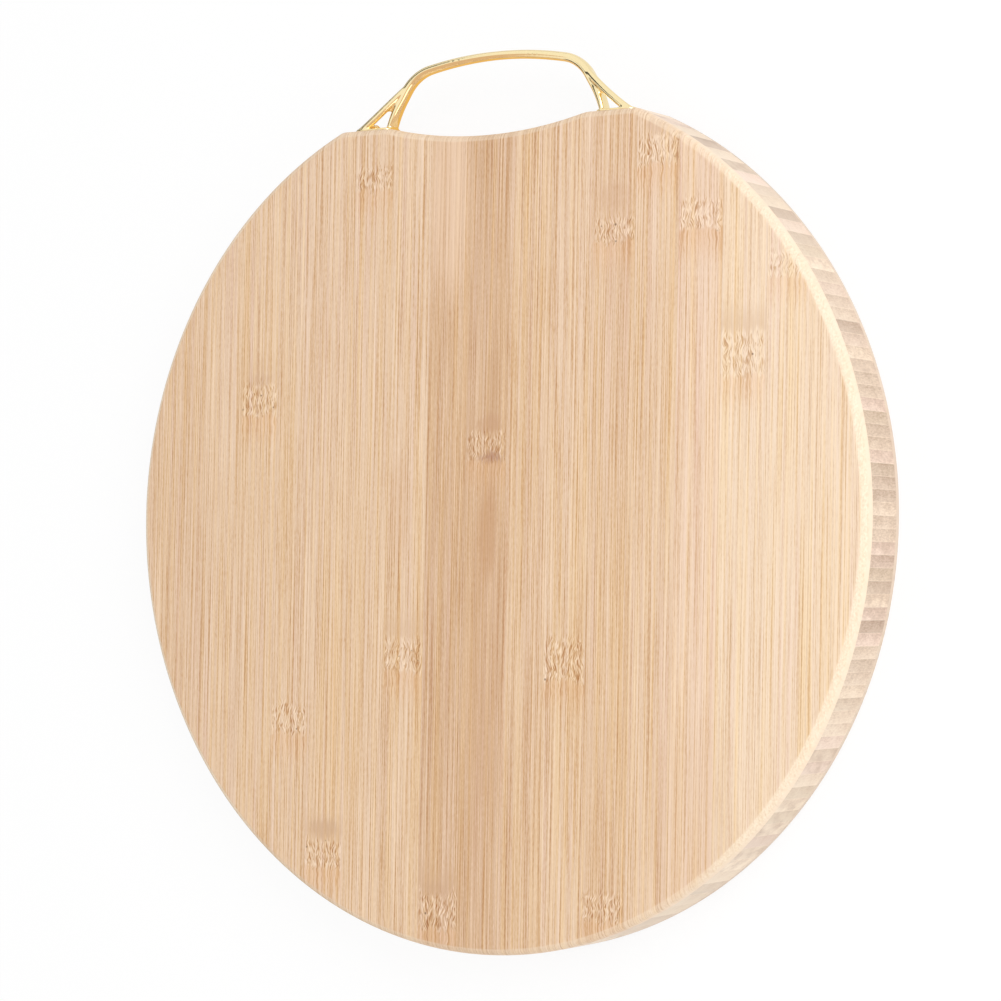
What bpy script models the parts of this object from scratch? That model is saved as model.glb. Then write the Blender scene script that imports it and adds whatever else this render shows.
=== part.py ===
"""Round bamboo cutting board with a cast bow handle, lying face up.

The board is three plies of glued bamboo: a front and a back face of strips laid flat side by side,
and between them a core of laths that stand on edge and cross the strips. A slim cast bow spans a
shallow valley in the edge. Each of its legs ends on the inner end of a flange, and a strut leaves
the bend above the leg and leans out to the flange's front corner. The flanges stand on flats beside
the valley. A screw between leg and strut holds each flange to the core.

X runs across the board, Y towards the handle and Z up out of the cutting face. The origin is the
centre of the disc on the underside. All sizes are in metres and all angles in degrees.
"""

import math

import bmesh
import bpy
from mathutils import Matrix, Vector

# Board
BOARD_RADIUS = 0.180
FACE_PLY_THICKNESS = 0.005
CORE_THICKNESS = 0.020
ROUND_OVER = 0.0035
STRIP_WIDTH = 0.020
STRIP_JOINT_X = -0.0045
LATH_THICKNESS = 0.005
LATHS_IN_A_BUNDLE = 5
LATH_JOINT_Y = 0.002
NARROWEST_OFFCUT = 0.003

# Edge between the handle's feet
VALLEY_DEPTH = 0.0061
VALLEY_EASE_RADIUS = 0.020
SEAT_CORNER_RADIUS = 0.005
SEAT_MARGIN = 0.0025

# Bow, whose crown is slimmer than its legs
HANDLE_BELOW_FACE = 0.0105
HANDLE_RISE = 0.0281
CROWN_RADIUS = 0.175
CROWN_WIDTH = 0.0035
CROWN_DEPTH = 0.0052
SHOULDER_RADIUS = 0.019
LEG_ANGLE = 58.0
LEG_WIDTH = 0.0042
LEG_DEPTH = 0.0054
LEG_BEND_LENGTH = 0.013
LEG_END_ANGLE = 74.0
LEG_END_WIDTH = 0.0030
LEG_END_DEPTH = 0.0068
LEG_END_INSET = 0.0003
BOW_SQUARENESS = 2.4

# Flanges and struts
FLANGE_SPACING = 0.1217
FLANGE_LENGTH = 0.0183
FLANGE_DEPTH = 0.0112
FLANGE_THICKNESS = 0.0012
FLANGE_CORNER_RADIUS = 0.0028
FLANGE_ROUND = 0.0003
STRUT_DIAMETER = 0.0032
STRUT_ROOT_ANGLE = 44.0
STRUT_ROOT_LEAD = 0.008
STRUT_ROOT_FORWARD = 0.0030
STRUT_END_ANGLE = 33.0
STRUT_END_LEAD = 0.008
STRUT_END_INSET = 0.0002

# Screws
SHANK_DIAMETER = 0.0022
HEAD_DIAMETER = 0.0046
HEAD_HEIGHT = 0.0023
SCREW_LENGTH = 0.012
POINT_LENGTH = 0.003
SCREW_OUTWARD = 0.0017
HOLE_CLEARANCE = 0.0003
LEAST_WOOD = 0.001

# Fineness of the curves
RIM_STEP = 3.0
CORNER_STEPS = 3
VALLEY_STEPS = 14
ROUND_OVER_STEPS = 4
CROWN_STEPS = 7
SHOULDER_STEPS = 9
BEND_STEPS = 6
BOW_RING_STEPS = 20
STRUT_STEPS = 9
STRUT_RING_STEPS = 14
SCREW_STEPS = 16
HEAD_STEPS = 4
SHARP_ANGLE = 30.0

# Heights of the layers and places of the flanges and screws
CORE_BOTTOM = FACE_PLY_THICKNESS
CORE_TOP = CORE_BOTTOM + CORE_THICKNESS
FACE_TOP = CORE_TOP + FACE_PLY_THICKNESS
HANDLE_Z = FACE_TOP - HANDLE_BELOW_FACE
FLANGE_INNER_X = FLANGE_SPACING / 2 - FLANGE_LENGTH / 2
FLANGE_OUTER_X = FLANGE_SPACING / 2 + FLANGE_LENGTH / 2
SCREW_X = FLANGE_SPACING / 2 + SCREW_OUTWARD

# The flat that a flange stands on ends in a small round corner that meets the disc's edge
SEAT_OUTER_X = FLANGE_OUTER_X + SEAT_MARGIN
SEAT_INNER_X = FLANGE_INNER_X
SEAT_Y = SEAT_CORNER_RADIUS + math.sqrt(
    (BOARD_RADIUS - SEAT_CORNER_RADIUS) ** 2 - SEAT_OUTER_X ** 2)
VALLEY_Y = SEAT_Y - VALLEY_DEPTH
VALLEY_RADIUS = (SEAT_INNER_X ** 2 + VALLEY_DEPTH ** 2) / (2 * VALLEY_DEPTH) - VALLEY_EASE_RADIUS
FLANGE_Y = SEAT_Y + FLANGE_THICKNESS
INSIDE_FLANGE_Y = SEAT_Y + FLANGE_THICKNESS / 2


def clear_scene():
    """Remove whatever objects the file starts with."""
    for item in list(bpy.data.objects):
        bpy.data.objects.remove(item, do_unlink=True)


def principled(name, color, roughness, metallic):
    """A plain material with a Principled shader."""
    material = bpy.data.materials.new(name)
    material.use_nodes = True
    shader = material.node_tree.nodes["Principled BSDF"]
    shader.inputs["Base Color"].default_value = (*color, 1.0)
    shader.inputs["Roughness"].default_value = roughness
    shader.inputs["Metallic"].default_value = metallic
    return material


def add_object(name, bm, material):
    """Turn a bmesh into a named object that is smooth on its curves and sharp at its corners."""
    mesh = bpy.data.meshes.new(name)
    bmesh.ops.recalc_face_normals(bm, faces=bm.faces)
    bm.to_mesh(mesh)
    bm.free()
    mesh.shade_smooth()
    mesh.set_sharp_from_angle(angle=math.radians(SHARP_ANGLE))
    item = bpy.data.objects.new(name, mesh)
    if material:
        mesh.materials.append(material)
    bpy.context.scene.collection.objects.link(item)
    return item


def add_tool(name, bm):
    """A hidden object that only shapes another one."""
    tool = add_object(name, bm, None)
    tool.hide_render = True
    tool.display_type = "WIRE"
    return tool


def combine(item, tool, operation):
    """Join a hidden tool to an object, or cut it away."""
    modifier = item.modifiers.new(tool.name, "BOOLEAN")
    modifier.operation = operation
    modifier.solver = "EXACT"
    modifier.object = tool


def heading(angle):
    """Unit vector that runs outwards and down at an angle to the seat."""
    return Vector((math.cos(math.radians(angle)), -math.sin(math.radians(angle))))


def arc(centre, radius, start, end, steps):
    """Points on an arc from the start angle to the end angle, both ends included."""
    angles = [start + (end - start) * i / steps for i in range(steps + 1)]
    return [Vector((centre[0] + radius * math.cos(a), centre[1] + radius * math.sin(a))) for a in angles]


def board_outline():
    """Points round the board's edge, anticlockwise from the valley's right end."""
    corner_centre = (SEAT_OUTER_X, SEAT_Y - SEAT_CORNER_RADIUS)
    corner_angle = math.atan2(corner_centre[1], corner_centre[0])
    ease_centre = (SEAT_INNER_X, SEAT_Y - VALLEY_EASE_RADIUS)
    valley_centre = (0.0, VALLEY_Y + VALLEY_RADIUS)
    ease_angle = math.atan2(valley_centre[1] - ease_centre[1], -ease_centre[0])
    rim_steps = round((math.degrees(2 * corner_angle) + 180) / RIM_STEP)

    right_corner = arc(corner_centre, SEAT_CORNER_RADIUS, corner_angle, math.pi / 2, CORNER_STEPS)
    right_ease = arc(ease_centre, VALLEY_EASE_RADIUS, math.pi / 2, ease_angle, CORNER_STEPS)
    valley = arc(valley_centre, VALLEY_RADIUS, ease_angle - math.pi, -ease_angle, VALLEY_STEPS)
    rim = arc((0.0, 0.0), BOARD_RADIUS, math.pi - corner_angle, 2 * math.pi + corner_angle, rim_steps)
    left_ease = [Vector((-p.x, p.y)) for p in reversed(right_ease)]
    left_corner = [Vector((-p.x, p.y)) for p in reversed(right_corner)]
    return right_corner + right_ease + valley[1:-1] + left_ease + left_corner + rim[1:-1]


def board_layer(bottom, top, rounded_z):
    """One layer of the whole board, with its edge rounded over at the height rounded_z."""
    bm = bmesh.new()
    corners = [bm.verts.new((p.x, p.y, bottom)) for p in board_outline()]
    base = bm.faces.new(corners)
    raised = bmesh.ops.extrude_face_region(bm, geom=[base])
    raised_verts = [g for g in raised["geom"] if isinstance(g, bmesh.types.BMVert)]
    bmesh.ops.translate(bm, verts=raised_verts, vec=(0.0, 0.0, top - bottom))
    if rounded_z is not None:
        edge = [e for e in bm.edges if all(abs(v.co.z - rounded_z) < ROUND_OVER / 10 for v in e.verts)]
        bmesh.ops.bevel(bm, geom=edge, offset=ROUND_OVER, offset_type="OFFSET", affect="EDGES",
                        segments=ROUND_OVER_STEPS, profile=0.5, material=-1)
    bmesh.ops.recalc_face_normals(bm, faces=bm.faces)
    return bm


def saw(bm, axis, position, keep_above):
    """Cut straight through at a position along an axis, and close the sawn face."""
    point = Vector((0.0, 0.0, 0.0))
    point[axis] = position
    normal = Vector((0.0, 0.0, 0.0))
    normal[axis] = 1.0
    everything = bm.verts[:] + bm.edges[:] + bm.faces[:]
    cut = bmesh.ops.bisect_plane(bm, geom=everything, dist=1e-7, plane_co=point, plane_no=normal,
                                 clear_inner=keep_above, clear_outer=not keep_above)
    for vert in [g for g in cut["geom_cut"] if isinstance(g, bmesh.types.BMVert)]:
        vert.co[axis] = position
    sawn = [g for g in cut["geom_cut"] if isinstance(g, bmesh.types.BMEdge)]
    bmesh.ops.edgeloop_fill(bm, edges=sawn)


def joints(through, pitch, low, high):
    """Glue joints at a steady pitch that pass through one position, between low and high."""
    first = math.ceil((low - through) / pitch)
    last = math.floor((high - through) / pitch)
    return [through + pitch * k for k in range(first, last + 1)]


def sawn_pieces(layer, axis, positions):
    """Copies of a layer, each cut to the stretch between two neighbouring joints."""
    pieces = []
    for low, high in zip([None] + positions, positions + [None]):
        piece = layer.copy()
        if low is not None:
            saw(piece, axis, low, keep_above=True)
        if high is not None:
            saw(piece, axis, high, keep_above=False)
        pieces.append(piece)
    layer.free()
    return pieces


def make_face_ply(prefix, bottom, top, rounded_z, material):
    """A face of strips that run towards the handle, numbered from left to right."""
    reach = BOARD_RADIUS - NARROWEST_OFFCUT
    glue = joints(STRIP_JOINT_X, STRIP_WIDTH, -reach, reach)
    strips = sawn_pieces(board_layer(bottom, top, rounded_z), 0, glue)
    for number, strip in enumerate(strips, start=1):
        add_object(f"{prefix}_strip_{number:02d}", strip, material)


def make_core(material):
    """The core of laths on edge, in glued bundles numbered from the bottom edge to the handle."""
    pitch = LATH_THICKNESS * LATHS_IN_A_BUNDLE
    screw_tip = FLANGE_Y - SCREW_LENGTH - HOLE_CLEARANCE
    last_joint = min(VALLEY_Y - NARROWEST_OFFCUT, screw_tip - LEAST_WOOD)
    glue = joints(LATH_JOINT_Y, pitch, NARROWEST_OFFCUT - BOARD_RADIUS, last_joint)
    bundles = sawn_pieces(board_layer(CORE_BOTTOM, CORE_TOP, None), 1, glue)
    return [add_object(f"core_laths_{number:02d}", bundle, material)
            for number, bundle in enumerate(bundles, start=1)]


def bow_lines():
    """Centres of the crown's and shoulder's arcs, and where and how the leg leaves the shoulder."""
    leg_end = Vector((FLANGE_INNER_X + LEG_END_INSET + LEG_END_WIDTH / 2, FLANGE_Y))
    bend_corner = leg_end - LEG_BEND_LENGTH / 2 * heading(LEG_END_ANGLE)
    bend_start = bend_corner - LEG_BEND_LENGTH / 2 * heading(LEG_ANGLE)
    crown_centre = Vector((0.0, SEAT_Y + HANDLE_RISE - CROWN_RADIUS))

    # The shoulder's centre lies a shoulder radius inside the leg and touches the crown from within
    out_of_leg = Vector((math.sin(math.radians(LEG_ANGLE)), math.cos(math.radians(LEG_ANGLE))))
    beside_leg = bend_start - SHOULDER_RADIUS * out_of_leg
    along = (crown_centre - beside_leg).dot(heading(LEG_ANGLE))
    reach = (CROWN_RADIUS - SHOULDER_RADIUS) ** 2 - (beside_leg - crown_centre).length_squared
    up_leg = math.sqrt(along ** 2 + reach) - along
    shoulder_centre = beside_leg - up_leg * heading(LEG_ANGLE)
    return crown_centre, shoulder_centre, bend_start, bend_corner, leg_end


def bow_stations():
    """Middle, outward direction, width and depth of the bow from its crown to its right foot."""
    crown_centre, shoulder_centre, bend_start, bend_corner, leg_end = bow_lines()
    turn = shoulder_centre - crown_centre
    turn_angle = math.atan2(turn.y, turn.x)
    leg_normal_angle = math.pi / 2 - math.radians(LEG_ANGLE)
    crown = arc(crown_centre, CROWN_RADIUS, math.pi / 2, turn_angle, CROWN_STEPS)
    shoulder = arc(shoulder_centre, SHOULDER_RADIUS, turn_angle, leg_normal_angle, SHOULDER_STEPS)

    stations = []
    for i, middle in enumerate(crown + shoulder[1:]):
        centre = crown_centre if i <= CROWN_STEPS else shoulder_centre
        growth = i / (CROWN_STEPS + SHOULDER_STEPS)
        width = CROWN_WIDTH + (LEG_WIDTH - CROWN_WIDTH) * growth
        depth = CROWN_DEPTH + (LEG_DEPTH - CROWN_DEPTH) * growth
        stations.append((middle, (middle - centre).normalized(), width, depth))
    for i in range(BEND_STEPS + 1):
        share = i / BEND_STEPS
        before = bend_start.lerp(bend_corner, share)
        after = bend_corner.lerp(leg_end, share)
        down = (after - before).normalized()
        width = LEG_WIDTH + (LEG_END_WIDTH - LEG_WIDTH) * share
        depth = LEG_DEPTH + (LEG_END_DEPTH - LEG_DEPTH) * share
        stations.append((before.lerp(after, share), Vector((-down.y, down.x)), width, depth))
    foot = Vector((leg_end.x, INSIDE_FLANGE_Y))
    stations.append((foot, Vector((1.0, 0.0)), LEG_END_WIDTH, LEG_END_DEPTH))
    return stations


def strut_stations():
    """Middle and half width across of the right strut, from inside the bend to inside the flange."""
    radius = STRUT_DIAMETER / 2
    slope_stretch = 1 / math.sin(math.radians(STRUT_END_ANGLE))
    forward = FLANGE_DEPTH / 2 - STRUT_END_INSET - radius
    root_normal = Vector((math.sin(math.radians(STRUT_ROOT_ANGLE)), math.cos(math.radians(STRUT_ROOT_ANGLE))))
    root = bow_lines()[1] + SHOULDER_RADIUS * root_normal
    end = Vector((FLANGE_OUTER_X - STRUT_END_INSET - radius * slope_stretch, INSIDE_FLANGE_Y))
    root_lead = root + STRUT_ROOT_LEAD * heading(STRUT_ROOT_ANGLE)
    end_lead = end - STRUT_END_LEAD * heading(STRUT_END_ANGLE)
    course = [root.to_3d(), root_lead.to_3d() + Vector((0.0, 0.0, STRUT_ROOT_FORWARD)),
              end_lead.to_3d() + Vector((0.0, 0.0, forward)), end.to_3d() + Vector((0.0, 0.0, forward))]

    stations = []
    for i in range(STRUT_STEPS):
        share = i / STRUT_STEPS
        legs = [a.lerp(b, share) for a, b in zip(course, course[1:])]
        before, after = [a.lerp(b, share) for a, b in zip(legs, legs[1:])]
        down = (after - before).normalized()
        stations.append((before.lerp(after, share), radius * Vector((-down.y, down.x, 0.0)).normalized()))
    stations.append((course[3], radius * slope_stretch * Vector((1.0, 0.0, 0.0))))
    return stations


def ring(bm, middle, across, half_depth, squareness, steps):
    """A closed loop of edges round a middle: an oval, fuller at its corners the squarer it is."""
    verts = []
    for k in range(steps):
        angle = 2 * math.pi * k / steps
        aside = math.copysign(abs(math.cos(angle)) ** (2 / squareness), math.cos(angle))
        ahead = math.copysign(abs(math.sin(angle)) ** (2 / squareness), math.sin(angle))
        verts.append(bm.verts.new(middle + aside * across + Vector((0.0, 0.0, ahead * half_depth))))
    return [bm.edges.new((a, b)) for a, b in zip(verts, verts[1:] + verts[:1])]


def loft(bm, rings):
    """A skin drawn through all the rings and closed at both ends."""
    for one, following in zip(rings, rings[1:]):
        bmesh.ops.bridge_loops(bm, edges=one + following)
    for end in (rings[0], rings[-1]):
        bmesh.ops.edgeloop_fill(bm, edges=end)


def make_bow():
    """The bow alone, from inside the left flange over the crown to inside the right one."""
    right = bow_stations()
    left = [(Vector((-m.x, m.y)), Vector((-a.x, a.y)), w, d) for m, a, w, d in reversed(right[1:])]
    bm = bmesh.new()
    rings = []
    for middle, outward, width, depth in left + right:
        place = Vector((middle.x, middle.y, HANDLE_Z))
        rings.append(ring(bm, place, width / 2 * outward.to_3d(), depth / 2, BOW_SQUARENESS, BOW_RING_STEPS))
    loft(bm, rings)
    return bm


def make_struts():
    """Both struts as tools that are joined to the bow."""
    bm = bmesh.new()
    for side in (-1, 1):
        rings = []
        for middle, across in strut_stations():
            place = Vector((side * middle.x, middle.y, HANDLE_Z + middle.z))
            outward = Vector((side * across.x, across.y, 0.0))
            rings.append(ring(bm, place, outward, STRUT_DIAMETER / 2, 2.0, STRUT_RING_STEPS))
        loft(bm, rings)
    return add_tool("strut_tool", bm)


def make_flanges():
    """Both flanges as tools: plates with round corners, eased along their upper edge."""
    bm = bmesh.new()
    for side in (-1, 1):
        plate = bmesh.new()
        place = Matrix.Translation((side * FLANGE_SPACING / 2, (SEAT_Y + FLANGE_Y) / 2, HANDLE_Z))
        size = Matrix.Diagonal((FLANGE_LENGTH, FLANGE_THICKNESS, FLANGE_DEPTH, 1.0))
        bmesh.ops.create_cube(plate, size=1.0, matrix=place @ size)
        upright = [e for e in plate.edges if abs(e.verts[0].co.y - e.verts[1].co.y) > FLANGE_THICKNESS / 2]
        bmesh.ops.bevel(plate, geom=upright, offset=FLANGE_CORNER_RADIUS, offset_type="OFFSET",
                        affect="EDGES", segments=CORNER_STEPS, profile=0.5, material=-1)
        upper = [e for e in plate.edges if all(v.co.y > INSIDE_FLANGE_Y for v in e.verts)]
        bmesh.ops.bevel(plate, geom=upper, offset=FLANGE_ROUND, offset_type="OFFSET",
                        affect="EDGES", segments=1, profile=0.5, material=-1)
        mesh = bpy.data.meshes.new("flange_plate")
        plate.to_mesh(mesh)
        plate.free()
        bm.from_mesh(mesh)
        bpy.data.meshes.remove(mesh)
    return add_tool("flange_tool", bm)


def turned_solid(bm, profile, steps, place):
    """Spin a profile of radius and height, from the top to the bottom, into a closed solid."""
    before = set(bm.verts)
    verts = [bm.verts.new((radius, 0.0, height)) for radius, height in profile]
    edges = [bm.edges.new(pair) for pair in zip(verts, verts[1:])]
    bmesh.ops.spin(bm, geom=verts + edges, cent=(0.0, 0.0, 0.0), axis=(0.0, 0.0, 1.0),
                   angle=2 * math.pi, steps=steps, use_merge=True)
    made = [v for v in bm.verts if v not in before]
    bmesh.ops.remove_doubles(bm, verts=made, dist=1e-6)
    made = [v for v in bm.verts if v not in before]
    bmesh.ops.transform(bm, matrix=place, verts=made)


def screw_places():
    """Name and place of each screw, its axis pointing out of the seat and its origin on the flange."""
    upright = Matrix.Rotation(math.radians(-90), 4, "X")
    return {f"screw_{side}": Matrix.Translation((x, FLANGE_Y, HANDLE_Z)) @ upright
            for side, x in (("left", -SCREW_X), ("right", SCREW_X))}


def make_drill(name, depth):
    """A tool that drills a hole at each screw from above the flange down to a depth."""
    radius = SHANK_DIAMETER / 2 + HOLE_CLEARANCE
    above = HEAD_HEIGHT / 2
    bm = bmesh.new()
    for place in screw_places().values():
        turned_solid(bm, [(0.0, above), (radius, above), (radius, -depth), (0.0, -depth)], SCREW_STEPS, place)
    return add_tool(name, bm)


def make_handle(material):
    """The casting: bow, struts and flanges in one, with a hole through each flange."""
    handle = add_object("handle", make_bow(), material)
    combine(handle, make_struts(), "UNION")
    combine(handle, make_flanges(), "UNION")
    combine(handle, make_drill("flange_drill", 2 * FLANGE_THICKNESS), "DIFFERENCE")


def make_pilot_holes(laths):
    """Blind holes in the laths under the flanges, a little wider and deeper than the screws."""
    combine(laths, make_drill("pilot_drill", SCREW_LENGTH + HOLE_CLEARANCE), "DIFFERENCE")


def make_screws(material):
    """Round-headed wood screws whose heads bear on the flanges."""
    dome = [(HEAD_DIAMETER / 2 * math.sin(a), HEAD_HEIGHT * math.cos(a))
            for a in (math.pi / 2 * k / HEAD_STEPS for k in range(HEAD_STEPS + 1))]
    shank = SHANK_DIAMETER / 2
    body = [(shank, 0.0), (shank, POINT_LENGTH - SCREW_LENGTH), (0.0, -SCREW_LENGTH)]
    for name, place in screw_places().items():
        bm = bmesh.new()
        turned_solid(bm, dome + body, SCREW_STEPS, place)
        add_object(name, bm, material)


def main():
    clear_scene()
    face_bamboo = principled("face_bamboo", (0.74, 0.53, 0.35), 0.5, 0.0)
    core_bamboo = principled("core_bamboo", (0.76, 0.62, 0.45), 0.55, 0.0)
    gold = principled("polished_gold", (0.94, 0.70, 0.33), 0.12, 1.0)
    brass = principled("screw_brass", (0.80, 0.60, 0.32), 0.3, 1.0)

    make_face_ply("front", CORE_TOP, FACE_TOP, FACE_TOP, face_bamboo)
    make_face_ply("back", 0.0, CORE_BOTTOM, 0.0, face_bamboo)
    bundles = make_core(core_bamboo)
    make_handle(gold)
    make_pilot_holes(bundles[-1])
    make_screws(brass)


main()
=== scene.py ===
# %% [markdown]
# # A round bamboo cutting board with a gold bow handle
#
# The real board is glued up from pale bamboo: strips laid flat on both faces, and between them a core
# of thin laths on edge that show their sawn sides all round the rim. A slim gold casting spans a shallow
# valley in the edge and is screwed down at both feet.
#
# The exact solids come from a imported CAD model. This script keeps their places and sizes, puts finer
# pieces in their stead and gives every piece a finish made of shader nodes.

import math

import bmesh
import bpy
from mathutils import Matrix, Vector


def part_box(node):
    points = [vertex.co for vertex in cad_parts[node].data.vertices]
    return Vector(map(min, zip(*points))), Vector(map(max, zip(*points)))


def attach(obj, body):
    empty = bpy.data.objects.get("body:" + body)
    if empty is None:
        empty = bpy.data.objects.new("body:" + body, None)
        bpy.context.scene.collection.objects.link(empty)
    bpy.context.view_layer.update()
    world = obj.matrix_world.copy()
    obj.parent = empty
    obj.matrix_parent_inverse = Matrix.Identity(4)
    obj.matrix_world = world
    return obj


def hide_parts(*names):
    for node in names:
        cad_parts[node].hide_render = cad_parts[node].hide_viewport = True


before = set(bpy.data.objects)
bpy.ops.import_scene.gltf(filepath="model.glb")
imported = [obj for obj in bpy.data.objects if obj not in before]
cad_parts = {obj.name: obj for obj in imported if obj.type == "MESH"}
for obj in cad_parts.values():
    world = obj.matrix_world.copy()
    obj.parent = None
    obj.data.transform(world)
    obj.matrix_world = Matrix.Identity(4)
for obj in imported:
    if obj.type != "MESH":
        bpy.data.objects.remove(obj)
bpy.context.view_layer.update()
scene = bpy.context.scene

# %% [markdown]
# ## Camera
#
# The photograph was taken from above, with the lens about 34 degrees to the right of straight down, so
# the round board looks like an upright oval and its right edge shows. A camera needs a place, a
# direction and a roll. The direction and the upward side are given here as plain vectors, and cross
# products make a clean set of three axes from them, which is easier to follow than three Euler angles.

# %% Set up the camera
CAMERA_PLACE = Vector((0.66679, -0.01918, 0.99541))
CAMERA_LOOKS = Vector((-0.56051, 0.02213, -0.82786))
CAMERA_UP = Vector((-0.00399, 0.99956, 0.02942))
CAMERA_LENS = 102.35
CAMERA_SENSOR = 36.0


def make_camera():
    data = bpy.data.cameras.new("camera")
    data.lens = CAMERA_LENS
    data.sensor_width = CAMERA_SENSOR
    camera = bpy.data.objects.new("camera", data)
    backwards = -CAMERA_LOOKS.normalized()
    rightwards = CAMERA_UP.cross(backwards).normalized()
    upwards = backwards.cross(rightwards)
    turn = Matrix((rightwards, upwards, backwards)).transposed()
    camera.matrix_world = Matrix.Translation(CAMERA_PLACE) @ turn.to_4x4()
    scene.collection.objects.link(camera)
    return camera


scene.camera = make_camera()
print("camera looks at the floor from", round(CAMERA_PLACE.length, 3), "m away")

# %% [markdown]
# ## Helpers for node materials
#
# A finish is a tree of small nodes: coordinates go in, noise and masks are mixed, and a Principled shader
# comes out. Wiring each node by hand takes many lines, so a few helpers make a node, set or link its
# inputs, and hand back its output. The output is wrapped in a small class that knows the signs of
# arithmetic, so a chain of Math nodes is written as a plain formula. Colours are written as they are read
# from a picture, from 0 to 255, and turned into the linear values that the shader wants.

# %% Node helpers
def seen(red, green, blue):
    """Linear colour with alpha from the values of a colour as it is seen on a screen."""
    linear = []
    for value in (red, green, blue):
        share = value / 255
        linear.append(share / 12.92 if share <= 0.04045 else ((share + 0.055) / 1.055) ** 2.4)
    return (*linear, 1.0)


class Reading:
    """A node's output. Arithmetic with it adds Math nodes to its tree."""

    def __init__(self, socket):
        self.socket = socket

    def __add__(self, other):
        return calc("ADD", self, other)

    def __sub__(self, other):
        return calc("SUBTRACT", self, other)

    def __rsub__(self, other):
        return calc("SUBTRACT", other, self)

    def __mul__(self, other):
        return calc("MULTIPLY", self, other)

    def __truediv__(self, other):
        return calc("DIVIDE", self, other)

    def __abs__(self):
        return calc("ABSOLUTE", self)


def plug(value, socket):
    """Link a reading to a socket, or set the socket to a plain value."""
    if isinstance(value, Reading):
        value.socket.id_data.links.new(value.socket, socket)
    elif value is not None:
        socket.default_value = value


def add_node(kind, *values, **settings):
    """A node in the tree of the first reading among the values, which go to its inputs in order."""
    tree = next(value.socket.id_data for value in values if isinstance(value, Reading))
    node = tree.nodes.new(kind)
    for name, setting in settings.items():
        setattr(node, name, setting)
    for value, socket in zip(values, node.inputs):
        plug(value, socket)
    return node


def calc(operation, *values):
    """One step of arithmetic."""
    return Reading(add_node("ShaderNodeMath", *values, operation=operation).outputs[0])


def fade(value, low, high, start=0.0, end=1.0):
    """A soft step from start, where the value is low, to end, where it is high. Low may be the larger."""
    node = add_node("ShaderNodeMapRange", value, low, high, start, end, interpolation_type="SMOOTHSTEP")
    return Reading(node.outputs[0])


def either(test, if_zero, if_one):
    """One of two numbers, or a soft mix while the test is on its way from zero to one."""
    return fade(test, 0.0, 1.0, if_zero, if_one)


def zone(coordinates, limits):
    """One inside all limits. A limit has a coordinate's name, where it gives zero and where it gives one."""
    steps = [fade(coordinates[name], *ends) for name, *ends in limits]
    return math.prod(steps[1:], start=steps[0])


def spread(value, centre, strength):
    """Noise stretched or squeezed about its middle value of one half."""
    return calc("MULTIPLY_ADD", value - 0.5, strength, centre)


def weighed(start, *parts):
    """A start value plus each noise, less its middle, times its weight."""
    for value, weight in parts:
        start = spread(value, start, weight)
    return start


print("arithmetic with nodes is ready")

# %% Noise and colour helpers
def point(x, y, z):
    """A vector from three numbers."""
    return Reading(add_node("ShaderNodeCombineXYZ", x, y, z).outputs[0])


def noise(vector, detail=2.0, roughness=0.5):
    """Soft noise whose grains are one unit of the vector in size."""
    node = add_node("ShaderNodeTexNoise", vector)
    node.inputs["Scale"].default_value = 1.0
    node.inputs["Detail"].default_value = detail
    node.inputs["Roughness"].default_value = roughness
    return Reading(node.outputs["Fac"])


def grains(x, y, z, per_metre):
    """A vector for noise that has so many grains to a metre along each axis."""
    return point(*[value * count for value, count in zip((x, y, z), per_metre)])


def chance(number):
    """A random number from 0 to 1 that stays the same for the same input."""
    node = add_node("ShaderNodeTexWhiteNoise", None, number, noise_dimensions="1D")
    return Reading(node.outputs["Value"])


def ramp(factor, stops, interpolation="LINEAR"):
    """A colour looked up between stops of position and colour."""
    node = add_node("ShaderNodeValToRGB", factor)
    node.color_ramp.interpolation = interpolation
    elements = node.color_ramp.elements
    elements.remove(elements[1])
    elements[0].position, elements[0].color = stops[0]
    for position, colour in stops[1:]:
        elements.new(position).color = colour
    return Reading(node.outputs["Color"])


def blend(factor, first, second, way="MIX"):
    """Two colours mixed or multiplied by a factor. Five unused inputs come before the two for colours."""
    node = add_node("ShaderNodeMix", factor, *[None] * 5, first, second, data_type="RGBA", blend_type=way)
    return Reading(node.outputs[2])


def three_parts(colour):
    """Red, green and blue of a colour as three numbers."""
    return [Reading(part) for part in add_node("ShaderNodeSeparateColor", colour).outputs]


def coordinates_of(tree, kind):
    """Across, along and up, in one of the kinds of coordinates that Blender offers."""
    source = Reading(tree.nodes.new("ShaderNodeTexCoord").outputs[kind])
    return [Reading(part) for part in add_node("ShaderNodeSeparateXYZ", source).outputs]


def new_material(name):
    """A material, its Principled shader and the piece's own coordinates."""
    material = bpy.data.materials.new(name)
    material.use_nodes = True
    tree = material.node_tree
    return material, tree.nodes["Principled BSDF"], coordinates_of(tree, "Object")


def dress(shader, colour, roughness, height, depth, strength):
    """Give a shader its colour, its roughness and a fine relief with a depth in metres."""
    relief = shader.id_data.nodes.new("ShaderNodeBump")
    relief.inputs["Strength"].default_value = strength
    relief.inputs["Distance"].default_value = depth
    plug(height, relief.inputs["Height"])
    plug(Reading(relief.outputs["Normal"]), shader.inputs["Normal"])
    plug(colour, shader.inputs["Base Color"])
    plug(roughness, shader.inputs["Roughness"])


print("noise and colours are ready")
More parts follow.
